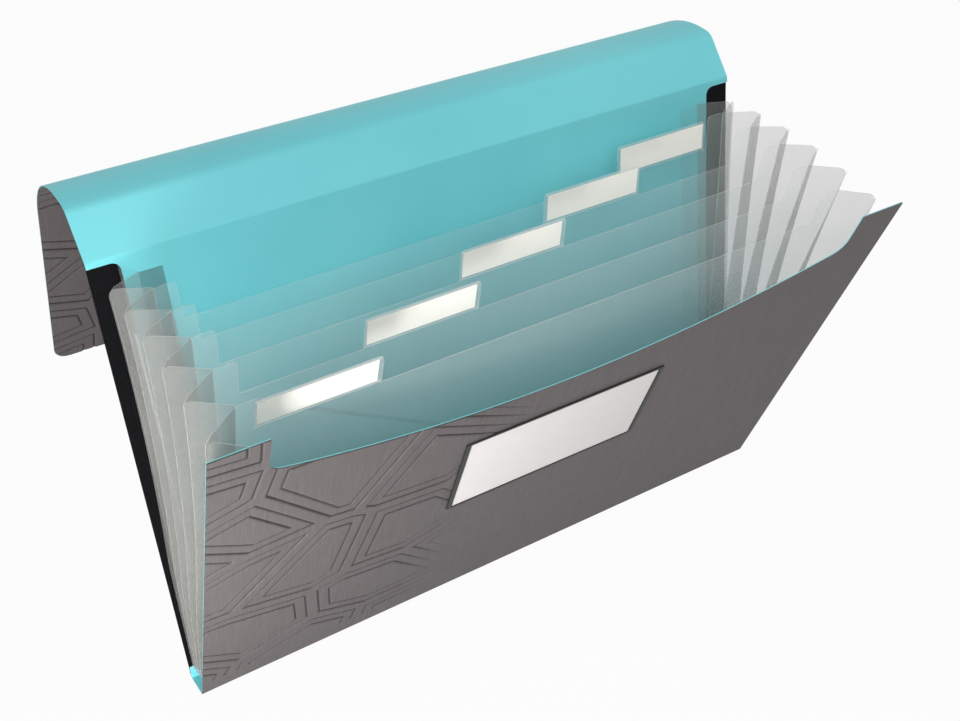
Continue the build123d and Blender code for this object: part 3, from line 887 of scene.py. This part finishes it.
label_paper = card("grey_white_label_card", "#DDDAD9", "#E6E3E2")
tab_paper = card("cream_white_tab_card", "#F6F4EB", "#FFFDF6")
kept_solids = {"label_card": label_paper, "back_flanges": divider_film, "front_flanges": divider_film}
kept_solids.update({f"tab_card_{k}": tab_paper for k in range(1, POCKETS)})
for name, mat in kept_solids.items():
    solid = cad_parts[name]
    solid.data.materials.clear()
    solid.data.materials.append(mat)
print("cards and flanges that keep their solids:", len(kept_solids))

# %% [markdown]
# ## Dividers
# Five sheets of clear film, each with two raised ears at its sides and one index tab. The tab has a
# thin clear sleeve in front that is open toward the middle, and the card slides into it. All of it
# is flat outline work: a sheet, a sleeve wall and a narrow rim between them.

# %% Divider outlines
DIVIDER_TOP, GUSSET_TOP, GUSSET_LINE = 196.0, 214.0, 150.0
HINGE_GAP = 0.3           # a divider ends this far inside the line that the gusset hinges on
EAR_EDGE, EAR_WIDTH, EAR_CORNER = GUSSET_LINE - HINGE_GAP, 9.7, 2.0
TAB_FIRST, TAB_PITCH, TAB_WIDTH, TAB_HEIGHT, TAB_CORNER = -115.5, 56.5, 54.0, 16.5, 2.0
CARD_HEIGHT, CARD_PLAY, SLEEVE_RIM = 13.0, 0.1, 1.0
HALF_FILM, SLOT_FRONT, SLEEVE_WALL = 0.15, 0.6, 0.2
RIM_INSET, RIM_DROP = 0.6, 0.3     # the sleeve's rim keeps off its sides and its top by these


def bump_up(x0, x1, low, high, r):
    """Outline points of a raised part: a side, two quarter circles of radius r, the other side."""
    corners = quarter(x1 - r, high - r, r, 0), quarter(x0 + r, high - r, r, 1)
    return np.concatenate([[[x1, low]], *corners, [[x0, low]]])


def three_sides(open_x, shut_x, inner_x, low, high, inner_low, inner_high):
    """Outline of a narrow rim: a rectangle from low to high less a smaller one, open at open_x."""
    return np.array([
        [open_x, low], [open_x, inner_low], [inner_x, inner_low], [inner_x, inner_high],
        [open_x, inner_high], [open_x, high], [shut_x, high], [shut_x, low]])


def merged(*parts):
    """Several meshes, each (points, faces, slots), as one."""
    points, faces, slots, base = [], [], [], 0
    for p, f, s in parts:
        points.append(p)
        faces += [[i + base for i in face] for face in f]
        slots += list(s)
        base += len(p)
    return np.concatenate(points), faces, slots


print("divider's half width, mm:", EAR_EDGE)

# %% Divider sheets, one for each inner panel
for k in range(1, POCKETS):
    at = panel(k)
    middle = TAB_FIRST + (k - 1) * TAB_PITCH
    t0, t1 = middle - TAB_WIDTH / 2, middle + TAB_WIDTH / 2
    top = DIVIDER_TOP + TAB_HEIGHT
    sheet_line = np.concatenate([
        [[-EAR_EDGE, 0], [EAR_EDGE, 0]],
        bump_up(EAR_EDGE - EAR_WIDTH, EAR_EDGE, DIVIDER_TOP, GUSSET_TOP, EAR_CORNER)[1:],
        bump_up(t0, t1, DIVIDER_TOP, top, TAB_CORNER),
        bump_up(-EAR_EDGE, EAR_WIDTH - EAR_EDGE, DIVIDER_TOP, GUSSET_TOP, EAR_CORNER)[:-1]])
    rim_foot = top - CARD_HEIGHT - 2 * (SLEEVE_RIM + CARD_PLAY)
    sleeve_line = bump_up(t0, t1, rim_foot, top, TAB_CORNER)
    # the rim's outer corners are left square, under the rounded wall's edge; it opens to the middle
    rim_line = three_sides(t1 - RIM_INSET, t0 + RIM_INSET, t0 + SLEEVE_RIM, rim_foot, top - RIM_DROP,
                           rim_foot + SLEEVE_RIM, top - SLEEVE_RIM)
    if middle > 0:
        rim_line[:, 0] = t0 + t1 - rim_line[:, 0]
    points, faces, slots = merged(
        plate(at, sheet_line, -HALF_FILM, HALF_FILM),
        plate(at, sleeve_line, -SLOT_FRONT - SLEEVE_WALL, -SLOT_FRONT),
        plate(at, rim_line, -SLOT_FRONT, -HALF_FILM))
    piece = make_piece(f"divider_sheet_{k}", points, faces, [divider_film, film_edge], slots)
    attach(piece, f"divider_{k}")
    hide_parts(f"divider_{k}")
print("dividers:", POCKETS - 1)

# %% [markdown]
# ## Pleated gussets
# Each side of each pocket is closed by one pleat: two leaves of film that hinge on the panels and
# meet at an outer fold. A leaf stands open at the top and lies nearly flat at the foot, so it is a
# ruled, twisted surface. Its shape blends from the panel at the foot to the turned leaf at the top,
# and the twist is worked out from that blend: a leaf that is opened by its share of the closing turn
# lies flat again when the folder closes, and two leaves of a pleat don't cross.

# %% Shape of a gusset leaf
GUSSET_FOOT, LEAF_OFFSET, LEAF_FILM = 6.0, 0.3, 0.25
FOLD_CLEAR = 0.15         # what is left between a leaf's edge and the middle of the pocket
FOLD_CORNER = 4.0         # rounding of the fold's upper end
HINGE_LAP = 0.25          # a leaf starts this far inside its hinge line
FLAT_POINTS, CORNER_POINTS, LEAF_ROWS = 5, 7, 41
FOOT_SHARE, HEAD_SHARE = 0.2, 0.1        # the blend reaches past foot and head by these shares of tall
CLOSING_TURN = radians(31.4)             # how far the top of a leaf turns when the folder closes
FLAT_SLACK = 0.017                       # turn left over in the closed leaf, radians
WIDEST = 18.5                            # greatest width of a leaf
step_angle = radians(FRONT_ANGLE / POCKETS)
tall = GUSSET_TOP - GUSSET_FOOT


def leaf(j, toward, side):
    """Points and faces of the leaf on panel j's front (+1) or rear (-1) face, on one side of the folder.

    With weight w of the blend and closing turn c, the leaf's swing is the direction of the mean of an
    unturned and a turned unit vector, atan2(w sin c, 1 - w + w cos c). It ends in the pocket's middle.
    """
    a = radians(FRONT_ANGLE) - j * step_angle
    (y0, z0), (y1, z1) = panel_foot(j), panel_foot(j - toward)
    hy, hz = (y1 - y0) / 2, (z1 - z0) / 2
    off, rise = toward * (-hy * cos(a) - hz * sin(a)), -hy * sin(a) + hz * cos(a)
    axis_off = (PLY if j in (0, POCKETS) else 0) + LEAF_OFFSET
    level = np.linspace(-HINGE_LAP, WIDEST - FOLD_CORNER, FLAT_POINTS + 1)[:-1]
    level = np.stack([level, np.full(FLAT_POINTS, GUSSET_TOP)], -1)
    rounded = quarter(WIDEST - FOLD_CORNER, GUSSET_TOP - FOLD_CORNER, FOLD_CORNER, 0, CORNER_POINTS)
    across, top = np.concatenate([level, rounded[::-1]]).T
    across, s, index = upright_grid(across, GUSSET_FOOT, top, LEAF_ROWS)
    w = ease(-FOOT_SHARE, 1 + HEAD_SHARE, (s - GUSSET_FOOT) / tall)
    swing = np.arctan2(w * sin(CLOSING_TURN), 1 - w + w * cos(CLOSING_TURN)) + FLAT_SLACK
    room = off + (s - rise) * tan(step_angle / 2) - axis_off - FOLD_CLEAR
    d = across * np.minimum(room / np.sin(swing), WIDEST) / WIDEST
    at = panel(j)
    layers = []
    for half in (-LEAF_FILM / 2, LEAF_FILM / 2):
        x = side * (GUSSET_LINE + d * np.cos(swing) - half * np.sin(swing))
        layers.append(at(x, s, -toward * (axis_off + d * np.sin(swing) + half * np.cos(swing))))
    rim = grid_rim(index)
    faces = np.concatenate([quads(index), quads(index) + s.size, wall(rim, rim + s.size)])
    slots = np.repeat([0, 1], [2 * len(quads(index)), len(rim)])
    return np.concatenate([p.reshape(-1, 3) for p in layers]), faces.tolist(), slots


print("a leaf turns, degrees:", round(float(np.degrees(CLOSING_TURN)), 1))

# %% Gusset leaves, two for each pocket and side
BLEND_FROM, BLEND_TO = GUSSET_FOOT - FOOT_SHARE * tall, GUSSET_TOP + HEAD_SHARE * tall
for p in range(1, POCKETS + 1):
    for side, word in ((-1, "left"), (1, "right")):
        for j, toward, end in ((p - 1, -1, "front"), (p, 1, "rear")):
            body = f"{word}_pleat_{p}_{end}"
            points, faces, slots = leaf(j, toward, side)
            piece = make_piece(f"{word}_leaf_{p}_{end}", points, faces, [gusset_film, film_edge], slots)
            ends = [panel(j)(0, s, 0) * MM for s in (BLEND_FROM, BLEND_TO)]
            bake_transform(piece)
            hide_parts(body)
print("gusset leaves:", 4 * POCKETS)

# %% [markdown]
# ## Elastic bands
# Flat black elastic is woven over rubber cords, so it has fine ribs along its length. The section
# of the band, with its ribs, is carried straight up the notch. The weave across it is a low bump.

# %% Elastic
WEFT, WEFT_HEIGHT = 0.9, 0.1       # spacing and height of the cross threads, millimetres
WAVES_PER_SCALE = 3.18             # the wave texture has 20 / (2 pi) waves for each unit of its scale
elastic, tree, shader, place = new_material("woven_black_elastic")
weft = add(tree, "ShaderNodeTexWave",
           {"Scale": 1 / (WEFT * MM) / WAVES_PER_SCALE, "Distortion": 1.2, "Detail": 1.0,
            "Detail Scale": 2.0},
           {"Vector": place}, bands_direction="Z")
colour = add(tree, "ShaderNodeMix", {6: linear("#020203"), 7: linear("#0C0D10")}, {0: weft.outputs[1]},
             data_type="RGBA")
bump = add(tree, "ShaderNodeBump", {"Strength": 0.5, "Distance": WEFT_HEIGHT * MM},
           {"Height": weft.outputs[1]})
feed(tree, shader, {"Roughness": 0.9, "Specular IOR Level": 0.15},
     {"Base Color": colour.outputs[2], "Normal": bump.outputs[0]})
print("material:", elastic.name)

# %% Bands
BAND_WIDTH, BAND_THICK, BAND_FOOT, BAND_HEAD = 13.0, 0.8, 0.6, 1.2
CORDS, RIB, CORD_POINTS, BAND_ROWS = 11, 0.16, 8, 45
for side, word in ((-1, "left"), (1, "right")):
    w = np.linspace(0, BAND_WIDTH, CORDS * CORD_POINTS + 1)
    ribs = BAND_THICK / 2 - RIB * (0.5 + 0.5 * np.cos(2 * np.pi * CORDS * w / BAND_WIDTH))
    loop = np.concatenate([np.stack([w, ribs], -1), np.stack([w, -ribs], -1)[::-1]])
    z = np.linspace(BAND_FOOT, BACK_HEIGHT - BAND_HEAD, BAND_ROWS)
    x = side * (HALF - BAND_WIDTH + loop[:, 0])
    y = HALF_SPINE + PLY + BAND_THICK / 2 + loop[:, 1]
    points = np.stack(np.broadcast_arrays(x[None, :], y[None, :], z[:, None]), -1).reshape(-1, 3)
    index = np.arange(len(points)).reshape(len(z), len(loop))
    around = np.concatenate([index, index[:, :1]], 1)
    faces = quads(around).tolist() + [index[0].tolist(), index[-1].tolist()]
    piece = make_piece(f"{word}_elastic", points, faces, [elastic], crisp=60)
    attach(piece, "back_cover")
    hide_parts(f"{word}_band")
print("elastic ribs:", CORDS)

# %% [markdown]
# ## Label holder
# A thin charcoal frame on the front holds the label card: a flat lip with softened edges over three
# low rails, open at the right end. The lip is a ring between an outer and an inner rectangle, with a
# small section carried round it. Moulded plastic has a fine satin grain that softens its gloss.

# %% Charcoal plastic
CHARCOAL_GRAIN, CHARCOAL_HEIGHT = 0.8, 0.02        # millimetres
charcoal, tree, shader, place = new_material("satin_charcoal_plastic")
grain = add(tree, "ShaderNodeTexNoise", {"Scale": 1 / (CHARCOAL_GRAIN * MM), "Detail": 3.0},
            {"Vector": place})
colour = add(tree, "ShaderNodeMix", {6: linear("#202222"), 7: linear("#2B2D2D")}, {0: grain.outputs[0]},
             data_type="RGBA")
bump = add(tree, "ShaderNodeBump", {"Strength": 0.3, "Distance": CHARCOAL_HEIGHT * MM},
           {"Height": grain.outputs[0]})
feed(tree, shader, {"Roughness": 0.5, "Specular IOR Level": 0.3},
     {"Base Color": colour.outputs[2], "Normal": bump.outputs[0]})
print("material:", charcoal.name)

# %% Label holder
LABEL_WIDTH, LABEL_HEIGHT, LABEL_X, LABEL_MIDDLE = 107.0, 56.7, 2.1, 123.7
LABEL_SIDE, LABEL_EDGE, LABEL_RAIL, LABEL_LIP = 2.7, 1.2, 0.7, 0.4
LABEL_SLOT, LABEL_CORNER, WINDOW_CORNER = 0.5, 1.0, 0.25
RAIL_INSET, RAIL_END = 0.1, 0.3    # the rails keep off the lip's edge and its open end by these
# section of the lip: share of the way from the outer to the inner ring, and drop below its top
SECTION_SHARES = np.array([0.0, 0.0, 0.04, 0.1, 0.86, 0.95, 1.0, 1.0])
SECTION_DROPS = np.array([LABEL_LIP, 0.16, 0.05, 0.0, 0.0, 0.06, 0.2, LABEL_LIP])


def ring(x0, x1, s0, s1, r):
    """Rounded rectangle as one ring of points: a quarter circle of radius r at each corner."""
    corners = [(x1 - r, s1 - r), (x0 + r, s1 - r), (x0 + r, s0 + r), (x1 - r, s0 + r)]
    return np.concatenate([quarter(cx, cs, r, k) for k, (cx, cs) in enumerate(corners)])


lx0, lx1 = LABEL_X - LABEL_WIDTH / 2, LABEL_X + LABEL_WIDTH / 2
ls0, ls1 = LABEL_MIDDLE - LABEL_HEIGHT / 2, LABEL_MIDDLE + LABEL_HEIGHT / 2
outer = ring(lx0, lx1, ls0, ls1, LABEL_CORNER)
inner = ring(lx0 + LABEL_SIDE, lx1 - LABEL_SIDE, ls0 + LABEL_EDGE, ls1 - LABEL_EDGE, WINDOW_CORNER)
lip_low = PLY + LABEL_SLOT
flat = outer[None] + SECTION_SHARES[:, None, None] * (inner - outer)[None]
height = lip_low + LABEL_LIP - SECTION_DROPS
points = on_front(flat[..., 0], flat[..., 1], -height[:, None]).reshape(-1, 3)
index = np.arange(len(points)).reshape(flat.shape[:2])
closed = np.concatenate([index, index[:1]])
closed = np.concatenate([closed, closed[:, :1]], 1)
lip = (points, quads(closed).tolist(), [0] * len(points))
rail_line = three_sides(lx1 - RAIL_END, lx0 + RAIL_INSET, lx0 + LABEL_RAIL, ls0 + RAIL_INSET,
                        ls1 - RAIL_INSET, ls0 + LABEL_RAIL, ls1 - LABEL_RAIL)
points, faces, slots = merged(lip, plate(on_front, rail_line, -lip_low, -PLY))
holder = make_piece("label_holder", points, faces, [charcoal], crisp=40)
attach(holder, "front_cover")
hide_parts("label_frame")
print("label holder faces:", len(holder.data.polygons))

# %% [markdown]
# ## Sizes
# The dressed folder is measured, and its box is printed to set beside the box of its solids.
# The dressed folder has to stay the size of its solids.

# %% Finish
low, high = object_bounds()
boxes = {"cad": [list(cad_low), list(cad_high)], "visual": [list(low), list(high)]}
print("dressed box, m:", [round(b - a, 4) for a, b in zip(low, high)])
